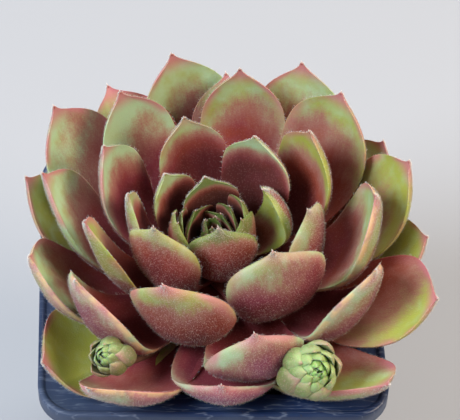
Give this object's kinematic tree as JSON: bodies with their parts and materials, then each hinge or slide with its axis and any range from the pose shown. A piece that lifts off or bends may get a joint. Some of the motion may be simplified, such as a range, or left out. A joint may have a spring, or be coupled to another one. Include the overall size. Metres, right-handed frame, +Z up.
{
  "type": "potted houseleek",
  "caption": "Houseleek rosette with young offsets, growing in soil in a tapered square plastic nursery pot with a rolled rim and drain holes.",
  "frame": {"origin": "middle of the pot's flat underside", "axes": "+Z up, -Y toward the side with the offsets, +X to the right when seen from that side"},
  "size_m": [0.1055, 0.1005, 0.119],
  "materials": {
    "pot": "satin",
    "soil": "matte",
    "leaves": "satin",
    "young_leaves": "satin"
  },
  "bodies": {
    "root": {"pot": "pot", "soil": "soil", "rosette": "leaves", "offset_left": "young_leaves", "offset_right": "young_leaves"}
  },
  "joints": []
}
